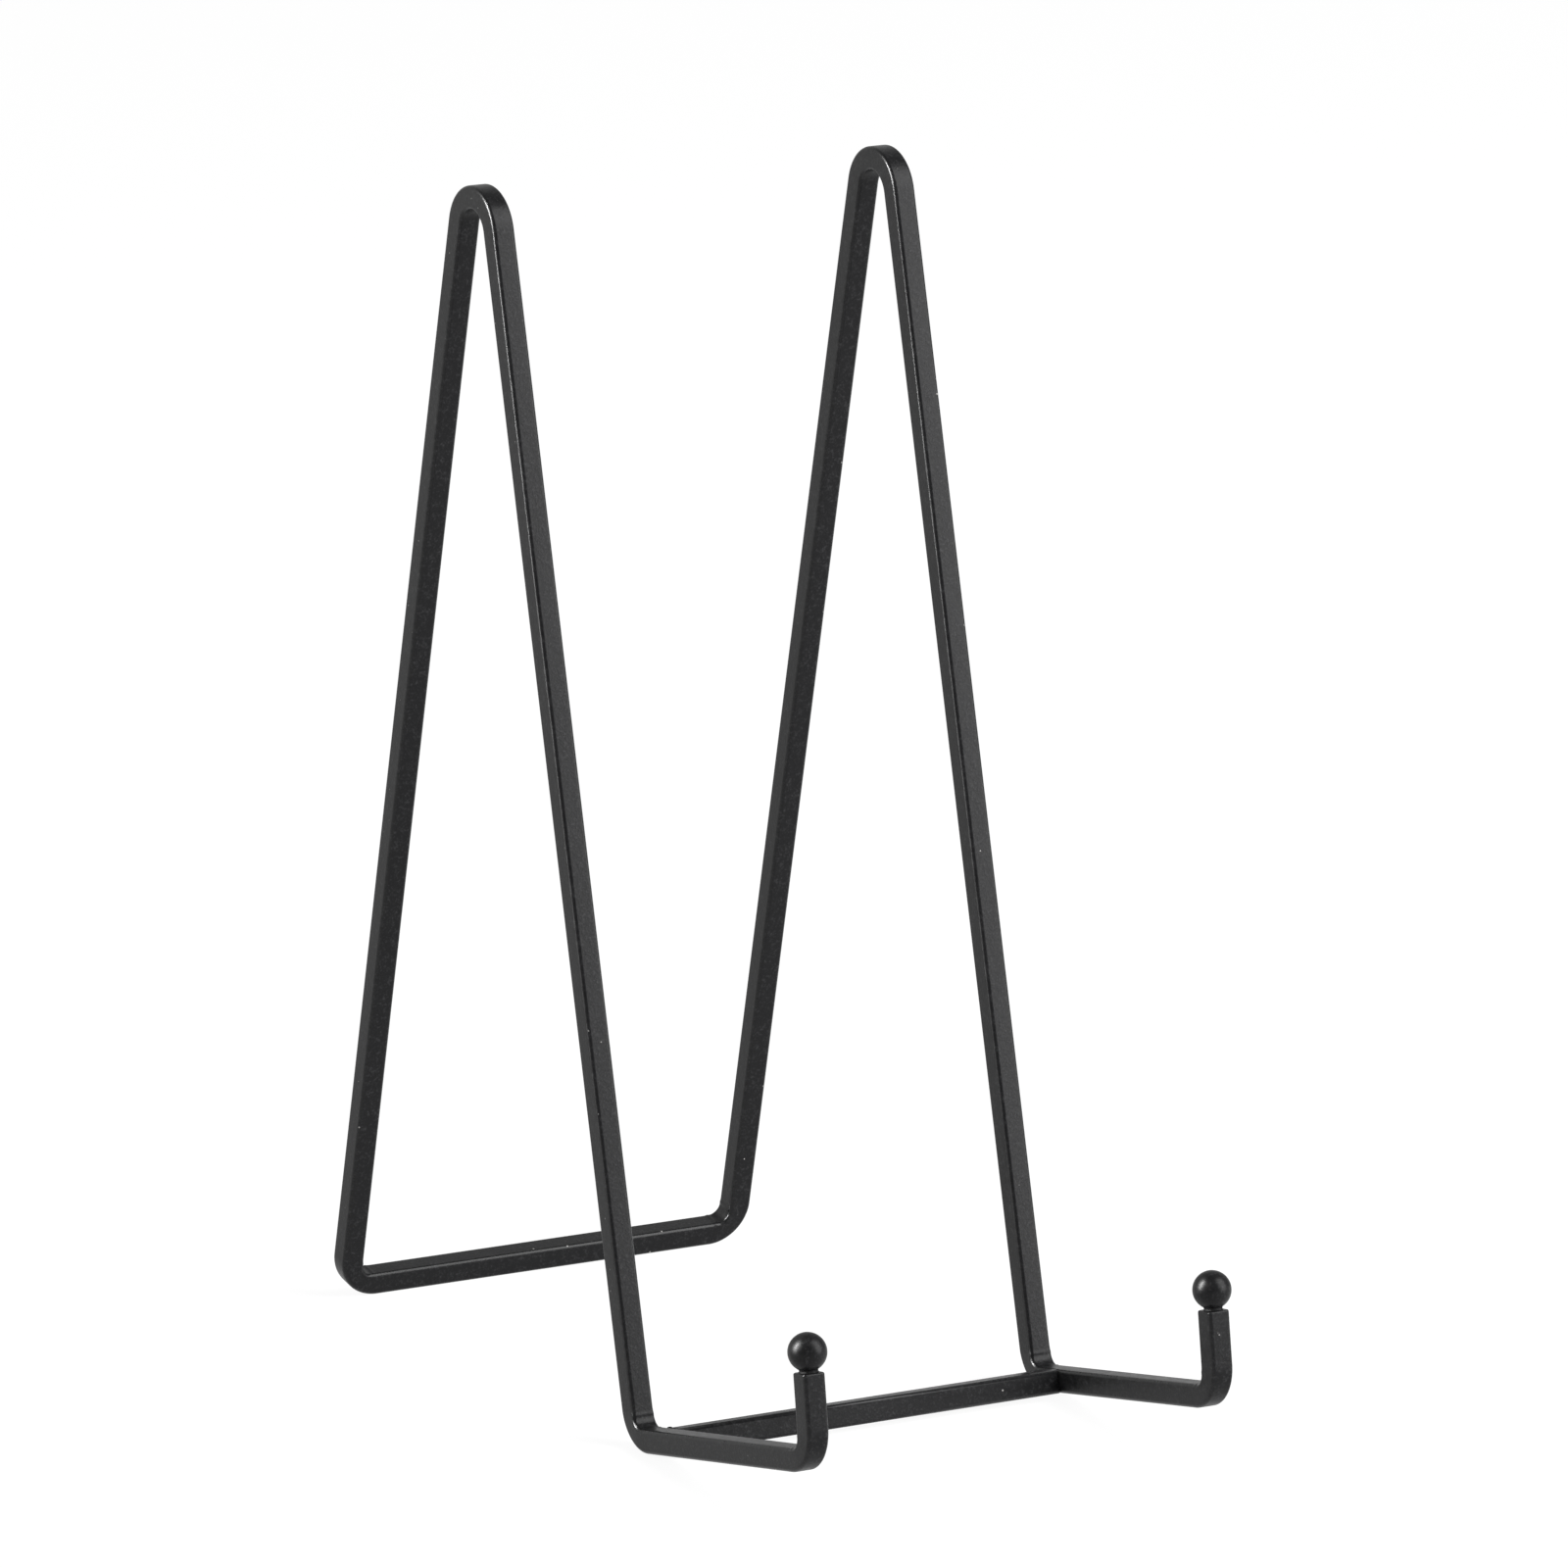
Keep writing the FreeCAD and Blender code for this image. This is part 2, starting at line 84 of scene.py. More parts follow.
back = towards(TURN, RISE)
level_right = Vector((math.cos(TURN), math.sin(TURN), 0))
level_up = back.cross(level_right)
right = level_right * math.cos(ROLL) + level_up * math.sin(ROLL)
up = level_up * math.cos(ROLL) - level_right * math.sin(ROLL)

lens = bpy.data.cameras.new("studio_camera")
lens.sensor_width = SENSOR_WIDTH
lens.lens = FOCAL_LENGTH
lens.clip_end = VIEW_END
camera = bpy.data.objects.new("studio_camera", lens)
bpy.context.collection.objects.link(camera)
stance = Matrix((right, up, back)).transposed().to_4x4()
stance.translation = AIM + back * DISTANCE
camera.matrix_world = stance
bpy.context.scene.camera = camera
bpy.context.scene.view_settings.view_transform = "Standard"
print("camera at", [round(value, 3) for value in stance.translation], "m")

# %% [markdown]
# ## Working as by hand
# Every piece of the stand is cut or bent from plain stock, and every mesh here starts as a plain primitive
# that is shaped in edit mode. A mesh could also be written from lists of points, but operators keep each
# step one that can be repeated at the screen. An operator acts on all that is selected. The CAD nodes are
# selected when they load, and a new primitive is selected all over, so a shape is started with everything
# else deselected.

# %% Start and place a shape
def start_shape(name, add, **sizes):
    """Add a primitive with nothing else selected."""
    bpy.ops.object.select_all(action="DESELECT")
    add(**sizes)
    shape = bpy.context.object
    shape.name = shape.data.name = name
    return shape


def edit():
    bpy.ops.object.mode_set(mode="EDIT")


def stop_edit():
    bpy.ops.object.mode_set(mode="OBJECT")


def frame_at(origin, across, along, out):
    """A place: its origin and its three directions."""
    place = Matrix((across, along, out)).transposed().to_4x4()
    place.translation = origin
    return place


def set_place(shape, place):
    """Move a whole shape to a place, and leave that place in its mesh."""
    shape.matrix_world = place
    bpy.ops.object.transform_apply(location=True, rotation=True, scale=True)

# %% [markdown]
# ## The bar's section
# The stock is 5 mm square steel with softly rounded edges. The edges could be beveled on the finished bar,
# but a bevel that follows a tight bend comes out uneven. So only the section is rounded: a plane is its
# square, beveling the plane's four points rounds them, and every later run and bend carries the section
# along. Each point also carries a number, 1 in the middle of a rounded edge and 0 on the flats. The coat
# reads it, because powder pulls thin over an edge.

# %% Bar section
BAR = 5 * MM
EDGE_RADIUS = 0.8 * MM
EDGE_STEPS = 6
HALF = BAR / 2
FLAT = HALF - EDGE_RADIUS


def bar_section(name, place):
    """A rounded square face at a place, left in edit mode with the face selected."""
    shape = start_shape(name, bpy.ops.mesh.primitive_plane_add, size=BAR)
    edit()
    bpy.ops.mesh.select_all(action="SELECT")
    bpy.ops.mesh.bevel(offset=EDGE_RADIUS, segments=EDGE_STEPS, affect="VERTICES")
    mesh = bmesh.from_edit_mesh(shape.data)
    edge_mark = mesh.verts.layers.float.new("rounded_edge")
    for point in mesh.verts:
        over = [max(abs(value) - FLAT, 0) for value in point.co.xy]
        point[edge_mark] = math.sin(2 * math.atan2(over[1], over[0])) if min(over) > 0 else 0
    bmesh.update_edit_mesh(shape.data)
    print(f"section of {name}: {len(mesh.verts)} points")
    stop_edit()
    set_place(shape, place)
    edit()
    bpy.ops.mesh.select_all(action="SELECT")
    return shape

# %% [markdown]
# ## Runs and bends
# At the bench the bar is fed straight on and then turned round a former. Extrude does the first and spin
# the second, on whichever end face is selected. A curve with a bevel profile would be quicker, but it gives
# no hold on the separate rings of a bend, and in a tight bend the metal shows what was done to it. Spin
# counts its angle against the right-hand rule, which is why the arch's turn is negative further on.

# %% Run and bend
def run(direction, length):
    """Push the selected end face straight on."""
    bpy.ops.mesh.extrude_region_move(TRANSFORM_OT_translate={"value": direction * length})


def bend(centre, axis, angle, steps):
    """Carry the selected end face round a bend."""
    bpy.ops.mesh.spin(steps=steps, angle=angle, center=centre, axis=axis, dupli=False)

# %% [markdown]
# ## Sizes of the bent bar
# One bar makes both sides: lip, foot, front leg, arch, rear leg, then the rear crossbar, and the same again
# up the other side. These are the sizes that its bender would need: the radius of each bend along the
# middle of the bar, how far the legs, feet and lips lean, and how long the feet and lips are. They could be
# measured on the CAD mesh, but a mesh gives an angle only roughly, and a named number can be changed.

# %% Sizes of the bent bar
RIGHT_ANGLE = math.radians(90)
BEND_RADIUS = 6.5 * MM
ARCH_RADIUS = 7.6 * MM
FRONT_LEAN = math.radians(14.1)
REAR_LEAN = math.radians(12.6)
FOOT_RISE = math.radians(11)
LIP_LEAN = math.radians(8.5)
LIP_LENGTH = 11.5 * MM
FOOT_REACH = 67.5 * MM
ACROSS = Vector((1, 0, 0))


def in_side(angle):
    """A direction in the plane of a side. The angle starts at the rear and turns upwards."""
    return Vector((0, math.cos(angle), math.sin(angle)))


rear_up = in_side(RIGHT_ANGLE + REAR_LEAN)
rear_back = in_side(REAR_LEAN)
front_down = in_side(-RIGHT_ANGLE - FRONT_LEAN)
foot_out = in_side(math.pi - FOOT_RISE)
lip_up = in_side(RIGHT_ANGLE - LIP_LEAN)
arch_turn = math.pi - FRONT_LEAN - REAR_LEAN
front_turn = RIGHT_ANGLE - FRONT_LEAN + FOOT_RISE
lip_turn = RIGHT_ANGLE - FOOT_RISE + LIP_LEAN
print("turns in degrees:", [round(math.degrees(turn), 1) for turn in (arch_turn, front_turn, lip_turn)])

# %% [markdown]
# ## Where the bends are
# The real bar is bent against stops, and what fixes it here is the box of its CAD node: the floor, the top
# of the arches, the front of the feet and the rear crossbar. The bends could be placed by eye on top of the
# node. Working them out from the box, each from its neighbour, keeps the straight runs tangent to them and
# the whole bar inside the size it should have.

# %% Where the bends are
bar_low, bar_high = (Vector(corner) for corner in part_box("frame_bar"))
side_x = bar_high.x - HALF
turned_half = FLAT * (math.cos(REAR_LEAN) + math.sin(REAR_LEAN)) + EDGE_RADIUS
rear_middle = Vector((0, bar_high.y - turned_half, bar_low.z + turned_half))

front_centre = Vector((side_x, bar_low.y + FOOT_REACH, bar_low.z + BEND_RADIUS + HALF))
lip_centre = Vector((side_x, bar_low.y + BEND_RADIUS + HALF, 0))
lip_centre.z = front_centre.z + (front_centre.y - lip_centre.y) * math.tan(FOOT_RISE)
foot_run = (front_centre - lip_centre).length

arch_z = bar_high.z - HALF - ARCH_RADIUS
both_radii = ARCH_RADIUS + BEND_RADIUS
leg_run = (arch_z - front_centre.z + both_radii * math.sin(FRONT_LEAN)) / math.cos(FRONT_LEAN)
arch_y = front_centre.y + leg_run * math.sin(FRONT_LEAN) + both_radii * math.cos(FRONT_LEAN)
arch_centre = Vector((side_x, arch_y, arch_z))
rear_centre = Vector((side_x - BEND_RADIUS, rear_middle.y, rear_middle.z)) + rear_up * BEND_RADIUS
rear_run = (arch_centre + rear_back * ARCH_RADIUS - rear_centre).dot(rear_up)
print(f"front leg {leg_run / MM:.2f} mm, rear leg {rear_run / MM:.2f} mm, foot {foot_run / MM:.2f} mm")

# %% [markdown]
# ## Bend one half
# The two sides of the stand are alike, so only one is bent, and the other could be bent again or mirrored.
# Mirroring is chosen, since it can't come out different. The section starts at the middle of the rear
# crossbar and travels to one lip, through the bends in the order in which the bar runs through them.

# %% Bend one half
BEND_STEPS = 26
ARCH_STEPS = 36


def picked_middle(shape):
    """The middle of the selected points."""
    mesh = bmesh.from_edit_mesh(shape.data)
    points = [point.co for point in mesh.verts if point.select]
    return sum(points, Vector()) / len(points)


bar = bar_section("bent_bar", frame_at(rear_middle, rear_back, rear_up, ACROSS))
run(ACROSS, side_x - BEND_RADIUS)
bend(rear_centre, rear_back, RIGHT_ANGLE, BEND_STEPS)
run(rear_up, rear_run)
bend(arch_centre, ACROSS, -arch_turn, ARCH_STEPS)
run(front_down, leg_run)
bend(front_centre, ACROSS, front_turn, BEND_STEPS)
run(foot_out, foot_run)
bend(lip_centre, ACROSS, lip_turn, BEND_STEPS)
run(lip_up, LIP_LENGTH)
lip_end = picked_middle(bar)
print("lip ends at", [round(value / MM, 2) for value in lip_end], "mm")

# %% [markdown]
# ## Marks of the bending pin
# The tight bends are made round a pin much smaller than the bar. The pin bites into the inner face and
# leaves a hollow of its own radius with a low ridge at each side. The marks could be painted as bump, but
# then the outline of the bend would stay a plain arc, so they are shaped in the mesh. This cell works out
# how deep the hollow is at each angle of a bend. The arches are bent round a larger former and stay smooth.

# %% Depth of the pin's hollow
PIN_RADIUS = 2.5 * MM
RIDGE = 0.1 * MM
RIDGE_PLACE = 0.8
RIDGE_SPREAD = math.radians(5)
INNER_RADIUS = BEND_RADIUS - HALF


def hollow_depth(angle, turn):
    """How far the inner face lies beyond its plain arc, at an angle from the start of the bend."""
    from_end = min(angle, turn - angle)
    from_middle = turn / 2 - from_end
    shift = (INNER_RADIUS - PIN_RADIUS) / math.cos(turn / 2)
    first_touch = math.atan2((INNER_RADIUS - PIN_RADIUS) * math.tan(turn / 2), INNER_RADIUS)
    if from_end < first_touch:
        face = INNER_RADIUS / math.cos(from_end)
    else:
        face = shift * math.cos(from_middle) + math.sqrt(PIN_RADIUS**2 - (shift * math.sin(from_middle)) ** 2)
    ridge = RIDGE * math.exp(-(((from_end - first_touch * RIDGE_PLACE) / RIDGE_SPREAD) ** 2))
    return face - INNER_RADIUS - ridge


print(f"hollow in the rear bends: {hollow_depth(RIGHT_ANGLE / 2, RIGHT_ANGLE) / MM:.2f} mm deep")

# %% [markdown]
# ## Pressing the bends
# Steel keeps its volume: where the pin presses the inner side, the bar spreads sideways, and the stretched
# outer side gets a little narrower. Proportional editing could give such a swelling, but not the same one
# in every bend. So the points of each ring are picked by their angle about the bend's centre, half a ring
# at a time, and moved as with the move tool.

# %% Press the pin into the tight bends
SQUEEZE = 0.12 * MM
THINNING = 0.06 * MM


def pick_points(shape, wanted):
    """Select the points whose place passes the test, and nothing else."""
    bpy.ops.mesh.select_mode(type="VERT")
    bpy.ops.mesh.select_all(action="DESELECT")
    mesh = bmesh.from_edit_mesh(shape.data)
    for point in mesh.verts:
        point.select_set(wanted(point.co))
    mesh.select_flush_mode()
    bmesh.update_edit_mesh(shape.data)
    return sum(point.select for point in mesh.verts)


def press_bend(shape, centre, axis, first, heading, turn):
    """Shape one tight bend. First points from its centre to its start, and heading is the bar's way on."""
    step = turn / BEND_STEPS

    def pick_half_ring(angle, side, inner):
        def on_it(place):
            aside = (place - centre).dot(axis)
            spoke = place - centre - axis * aside
            in_bar = abs(spoke.length - BEND_RADIUS) <= BAR and 0 <= aside * side <= BAR
            here = math.atan2(spoke.dot(heading), spoke.dot(first))
            return in_bar and (spoke.length < BEND_RADIUS) == inner and abs(here - angle) < step / 4

        return pick_points(shape, on_it)

    for ring in range(BEND_STEPS + 1):
        angle = ring * step
        outwards = first * math.cos(angle) + heading * math.sin(angle)
        swell = math.sin(math.pi * ring / BEND_STEPS)
        for side in (-1, 1):
            if pick_half_ring(angle, side, inner=True):
                bpy.ops.transform.translate(
                    value=outwards * hollow_depth(angle, turn) + axis * side * SQUEEZE * swell
                )
            if pick_half_ring(angle, side, inner=False):
                bpy.ops.transform.translate(value=axis * side * -THINNING * swell)
    print(f"pressed a bend of {math.degrees(turn):.1f} degrees in {BEND_STEPS} steps")


press_bend(bar, rear_centre, rear_back, -rear_up, ACROSS, RIGHT_ANGLE)
press_bend(bar, front_centre, ACROSS, in_side(-FRONT_LEAN), front_down, front_turn)
press_bend(bar, lip_centre, ACROSS, in_side(-RIGHT_ANGLE - FOOT_RISE), foot_out, lip_turn)

# %% [markdown]
# ## Cut end of the lip
# The lip is sawn off square, and the blasting before the coat eases its rim. The rim could be left sharp
# and shaded round, but then no highlight would run along it. So the end face is picked by its place and the
# way it faces, and beveled.

# %% Ease the tip
TIP_RADIUS = 0.4 * MM
TIP_STEPS = 4
FACING = 0.99


def pick_faces(shape, wanted):
    """Select the faces whose middle and normal pass the test, and nothing else."""
    bpy.ops.mesh.select_mode(type="FACE")
    bpy.ops.mesh.select_all(action="DESELECT")
    mesh = bmesh.from_edit_mesh(shape.data)
    mesh.normal_update()
    for face in mesh.faces:
        face.select_set(wanted(face.calc_center_median(), face.normal))
    bmesh.update_edit_mesh(shape.data)
    return sum(face.select for face in mesh.faces)


def at_tip(middle, normal):
    return (middle - lip_end).length < HALF and normal.dot(lip_up) > FACING


print("tip faces picked:", pick_faces(bar, at_tip))
bpy.ops.mesh.bevel(offset=TIP_RADIUS, segments=TIP_STEPS, affect="EDGES")

# %% [markdown]
# ## The other half
# The real bar runs through the middle of the rear crossbar without a seam. Two halves could be joined as
# objects and their ends bridged. A mirror modifier with clipping does the same in one step, once the
# starting face, which would end up inside the steel, is taken away.

# %% Mirror the bar
MIDDLE_LINE = BAR / 100
MIRROR_JOIN = BAR / 1000


def finish_modifier(shape, kind, **settings):
    """Add a modifier, set it and apply it."""
    modifier = shape.modifiers.new(kind.lower(), kind)
    for name, value in settings.items():
        setattr(modifier, name, value)
    bpy.context.view_layer.objects.active = shape
    bpy.ops.object.modifier_apply(modifier=modifier.name)


print("middle faces removed:", pick_faces(bar, lambda middle, normal: abs(middle.x) < MIDDLE_LINE))
bpy.ops.mesh.delete(type="ONLY_FACE")
stop_edit()
finish_modifier(bar, "MIRROR", use_clip=True, merge_threshold=MIRROR_JOIN)

# %% [markdown]
# ## Closing a skin
# A steel bar is solid, so its mesh has to be one closed skin with every face pointing outwards. Spin and
# mirror can leave doubled points and turn faces inside out. They could be cleaned up by hand in the
# viewport, but every piece needs the same few steps, so one function does them. Weighted normals then keep
# the wide flats flat while the narrow rounding shades smoothly.

# %% Close and smooth
SAME_POINT = BAR / 5000
FLAT_WEIGHT = 50


def report(shape):
    """Print a finished shape's size, and whether its skin is closed."""
    mesh = bmesh.new()
    mesh.from_mesh(shape.data)
    open_edges = sum(not edge.is_manifold for edge in mesh.edges)
    low = [round(min(point.co[axis] for point in mesh.verts) / MM, 2) for axis in range(3)]
    high = [round(max(point.co[axis] for point in mesh.verts) / MM, 2) for axis in range(3)]
    print(f"{shape.name}: {low} to {high} mm, {mesh.calc_volume() / MM**3:.1f} mm3")
    print(f"{shape.name}: {len(mesh.faces)} faces, {open_edges} open edges")
    mesh.free()


def close_and_smooth(shape):
    """Join doubled points, turn all faces outwards and shade smoothly, with the flats kept flat."""
    bpy.ops.object.select_all(action="DESELECT")
    shape.select_set(True)
    bpy.context.view_layer.objects.active = shape
    edit()
    bpy.ops.mesh.select_all(action="SELECT")
    bpy.ops.mesh.remove_doubles(threshold=SAME_POINT)
    bpy.ops.mesh.normals_make_consistent(inside=False)
    stop_edit()
    bpy.ops.object.shade_smooth()
    finish_modifier(shape, "WEIGHTED_NORMAL", mode="FACE_AREA", weight=FLAT_WEIGHT)
    report(shape)


close_and_smooth(bar)
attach(bar, "root")
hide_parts("frame_bar")

# %% [markdown]
# ## Crossbar between the feet
# A short length of the same stock joins the two feet, turned with them so that its faces lie flush with
# theirs. A scaled cube would be close, but it would lack the stock's rounded edges and stretch any bevel
# put on it. So the same section is placed against one foot and pushed across to the other.

# %% Crossbar
crossbar_low, crossbar_high = (Vector(corner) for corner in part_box("front_crossbar"))
crossbar_middle = (crossbar_low + crossbar_high) / 2
crossbar_start = Vector((crossbar_low.x, crossbar_middle.y, crossbar_middle.z))
foot_top = in_side(RIGHT_ANGLE - FOOT_RISE)
crossbar = bar_section("foot_crossbar", frame_at(crossbar_start, -foot_out, foot_top, ACROSS))
run(ACROSS, crossbar_high.x - crossbar_low.x)
stop_edit()
close_and_smooth(crossbar)
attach(crossbar, "root")
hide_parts("front_crossbar")

# %% [markdown]
# ## Ripples of a weld bead
# The crossbar is held by one upright bead at each end. A bead is a row of ripples, one for each time the
# puddle of molten steel moved on. Ripples could be a bump on a smooth rod, but a bead's outline is wavy
# too. So a cylinder is bisected into rings, every second ring is drawn in, both ends taper, and each ring
# is pushed a little off the line, as a hand would leave it.

# %% Ripples of a weld bead
TOUCH = 0.0005 * MM
BEAD_RADIUS = 1.15 * MM
BEAD_LENGTH = 5.3 * MM
BEAD_SIDES = 32
BEAD_RINGS = 12
RING_GAP = BEAD_LENGTH / BEAD_RINGS
DRAWN_IN = 0.86
END_TAPER = 0.45
TAPER_POWER = 6
WANDER = 0.05 * MM
WANDER_TURN = 2.3


def rippled_bead(name, side):
    """An upright bead at the origin. The side changes how it wanders."""
    bead = start_shape(
        name, bpy.ops.mesh.primitive_cylinder_add, vertices=BEAD_SIDES, radius=BEAD_RADIUS, depth=BEAD_LENGTH
    )
    heights = [BEAD_LENGTH * (ring / BEAD_RINGS - 0.5) for ring in range(BEAD_RINGS + 1)]
    edit()
    for height in heights[1:-1]:
        bpy.ops.mesh.select_all(action="SELECT")
        bpy.ops.mesh.bisect(plane_co=(0, 0, height), plane_no=(0, 0, 1), threshold=TOUCH)
    for ring, height in enumerate(heights):
        pick_points(bead, lambda place: abs(place.z - height) < RING_GAP / 4)
        taper = 1 - END_TAPER * abs(2 * ring / BEAD_RINGS - 1) ** TAPER_POWER
        wide = taper * (1 if ring % 2 else DRAWN_IN)
        bpy.ops.transform.resize(value=(wide, wide, 1), center_override=(0, 0, height))
        off_line = WANDER * math.sin(WANDER_TURN * ring + side)
        bpy.ops.transform.translate(value=(off_line, -off_line, 0))
    stop_edit()
    return bead

# %% [markdown]
# ## Weld beads behind the crossbar
# The beads sit in the corners behind the crossbar, where they don't show from the front. A whole rod pushed
# into the corner would look the same from outside, but it would overlap the steel. So each bead is smoothed
# with a subdivision surface and then bisected along both steel faces, a hair inside them, which leaves no
# gap to see.

# %% Crossbar beads
BEAD_SINK = 0.02 * MM
SMOOTH_LEVELS = 2
corner_line = crossbar_middle - foot_out * HALF


def crossbar_bead(side, name, node):
    corner = Vector((side * crossbar_high.x, corner_line.y, corner_line.z))
    bead = rippled_bead(name, side)
    set_place(bead, frame_at(corner, ACROSS, -foot_out, foot_top))
    finish_modifier(bead, "SUBSURF", levels=SMOOTH_LEVELS, render_levels=SMOOTH_LEVELS)
    edit()
    for inwards in (foot_out, ACROSS * side):
        bpy.ops.mesh.select_all(action="SELECT")
        bpy.ops.mesh.bisect(
            plane_co=corner + inwards * BEAD_SINK, plane_no=inwards, clear_outer=True, use_fill=True,
            threshold=TOUCH,
        )
    stop_edit()
    close_and_smooth(bead)
    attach(bead, "root")
    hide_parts(node)
    return bead


beads = [
    crossbar_bead(-1, "left_crossbar_bead", "left_crossbar_weld"),
    crossbar_bead(1, "right_crossbar_bead", "right_crossbar_weld"),
]

# %% [markdown]
# ## Balls on the lips
# An 8 mm steel ball on each lip keeps the plate from sliding off and hides the sawn end. Welding it on
# flattens it a little where it sits. A bare sphere would float on the lip or cut into it, so its underside
# is bisected away and filled, and the new rim is rounded off with a bevel.

# %% Balls
BALL_RADIUS = 4 * MM
BALL_LIFT = 0.1 * MM
BALL_SEGMENTS = 64
BALL_RINGS = 40
SEAT_HEIGHT = 0.3 * MM
SEAT_ROUNDING = 0.15 * MM
SEAT_STEPS = 3
seat = BALL_LIFT + SEAT_HEIGHT
lip_back = in_side(-LIP_LEAN)


def lip_place(side):
    """The middle of a lip's cut end, with its own up."""
    return frame_at(Vector((side * side_x, lip_end.y, lip_end.z)), ACROSS, lip_back, lip_up)


def lip_ball(side, name, node):
    ball = start_shape(
        name, bpy.ops.mesh.primitive_uv_sphere_add, segments=BALL_SEGMENTS, ring_count=BALL_RINGS,
        radius=BALL_RADIUS, location=(0, 0, BALL_LIFT + BALL_RADIUS),
    )
    bpy.ops.object.transform_apply(location=True)
    edit()
    bpy.ops.mesh.select_all(action="SELECT")
    bpy.ops.mesh.bisect(
        plane_co=(0, 0, seat), plane_no=(0, 0, -1), clear_outer=True, use_fill=True, threshold=TOUCH
    )
    pick_faces(ball, lambda middle, normal: normal.z < -FACING and middle.z < seat + SEAT_HEIGHT / 10)
    bpy.ops.mesh.bevel(offset=SEAT_ROUNDING, segments=SEAT_STEPS, affect="EDGES")
    stop_edit()
    set_place(ball, lip_place(side))
    close_and_smooth(ball)
    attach(ball, "root")
    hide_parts(node)
    return ball


balls = [lip_ball(-1, "left_lip_ball", "left_ball"), lip_ball(1, "right_lip_ball", "right_ball")]

# %% [markdown]
# ## Necks under the balls
# The pulse of current that welds a ball squeezes a dark little neck of metal out between ball and lip. It
# could be a torus pushed halfway into both, but a torus is too even. So a filled circle is extruded and
# resized ring by ring along a waisted profile, a few lumps are pushed out at odd angles, and a subdivision
# surface melts it all together.

# %% Necks
# Height and radius of each ring of the neck, from the lip's cut end up into the ball.
NECK_PROFILE = [
    (-0.02 * MM, 1.7 * MM), (0.0, 2.1 * MM), (0.1 * MM, 2.02 * MM), (0.22 * MM, 1.86 * MM),
    (0.34 * MM, 1.84 * MM), (0.46 * MM, 1.95 * MM), (0.58 * MM, 1.98 * MM), (0.6 * MM, 1.7 * MM),
]
NECK_SIDES = 40
# Angle round the neck and push of each lump, and the part of the neck that a lump takes along.
NECK_LUMPS = [(0.4, 0.09 * MM), (1.9, 0.05 * MM), (3.3, 0.1 * MM), (4.4, 0.04 * MM), (5.4, 0.07 * MM)]
LUMP_WIDTH = 0.86
LUMP_LOW = 0.02 * MM
LUMP_HIGH = 0.4 * MM


def ball_neck(side, name, node):
    height, radius = NECK_PROFILE[0]
    neck = start_shape(
        name, bpy.ops.mesh.primitive_circle_add, vertices=NECK_SIDES, radius=radius, fill_type="NGON",
        location=(0, 0, height),
    )
    bpy.ops.object.transform_apply(location=True)
    edit()
    bpy.ops.mesh.select_all(action="SELECT")
    for next_height, next_radius in NECK_PROFILE[1:]:
        run(Vector((0, 0, 1)), next_height - height)
        grow = next_radius / radius
        bpy.ops.transform.resize(value=(grow, grow, 1), center_override=(0, 0, next_height))
        height, radius = next_height, next_radius
    for angle, push in NECK_LUMPS:
        way = Vector((math.cos(angle + side), math.sin(angle + side), 0))
        pick_points(
            neck, lambda spot: spot.xy.normalized().dot(way.xy) > LUMP_WIDTH and LUMP_LOW < spot.z < LUMP_HIGH
        )
        bpy.ops.transform.translate(value=way * push)
    stop_edit()
    finish_modifier(neck, "SUBSURF", levels=SMOOTH_LEVELS, render_levels=SMOOTH_LEVELS)
    set_place(neck, lip_place(side))
    close_and_smooth(neck)
    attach(neck, "root")
    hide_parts(node)
    return neck


necks = [
    ball_neck(-1, "left_ball_neck", "left_ball_weld"),
    ball_neck(1, "right_ball_neck", "right_ball_weld"),
]

# %% [markdown]
# ## Sums in a finish
# The coat is made of patterns that are weighted and added up, and in Blender each such sum is a Math node.
# The nodes could be placed and wired one by one, but a long sum is hard to read back from its wires. So a
# socket is wrapped in a small class. An ordinary sum on it adds the nodes, and the reverse of a pattern is
# simply 1 - pattern.

# %% Sums of sockets
class Flow:
    """A socket that takes part in sums. Every sum adds its Math node."""

    def __init__(self, finish, socket):
        self.finish, self.socket = finish, socket

    def maths(self, operation, *values):
        node = self.finish.node("ShaderNodeMath", {"operation": operation}, dict(enumerate(values)))
        return self.finish.flow(node)

    def __add__(self, other):
        return self.maths("ADD", self, other)

    def __radd__(self, other):
        return self.maths("ADD", other, self)

    def __sub__(self, other):
        return self.maths("SUBTRACT", self, other)

    def __rsub__(self, other):
        return self.maths("SUBTRACT", other, self)

    def __mul__(self, other):
        return self.maths("MULTIPLY", self, other)

    def __rmul__(self, other):
        return self.maths("MULTIPLY", other, self)

    def step(self, low, high):
        """0 below low, 1 above high, smooth between."""
        inputs = {"Value": self, "From Min": low, "From Max": high}
        node = self.finish.node("ShaderNodeMapRange", {"interpolation_type": "SMOOTHSTEP"}, inputs)
        return self.finish.flow(node, "Result")

# %% [markdown]
# ## Nodes of a finish
# Every layer of a finish is a node that is added, set, and given its values or links. That could be spelled
# out for each node, but one method that takes the node's type, its settings and its inputs does it for all
# of them. Materials and the room's light both hold such nodes around one main shader, so one class serves
# both.

# %% Nodes of a finish
# A Mix node has sockets for numbers, vectors and colours. These are its factor and its colours.
MIX_FACTOR = 0
MIX_FIRST = 6
MIX_SECOND = 7
MIX_RESULT = 2


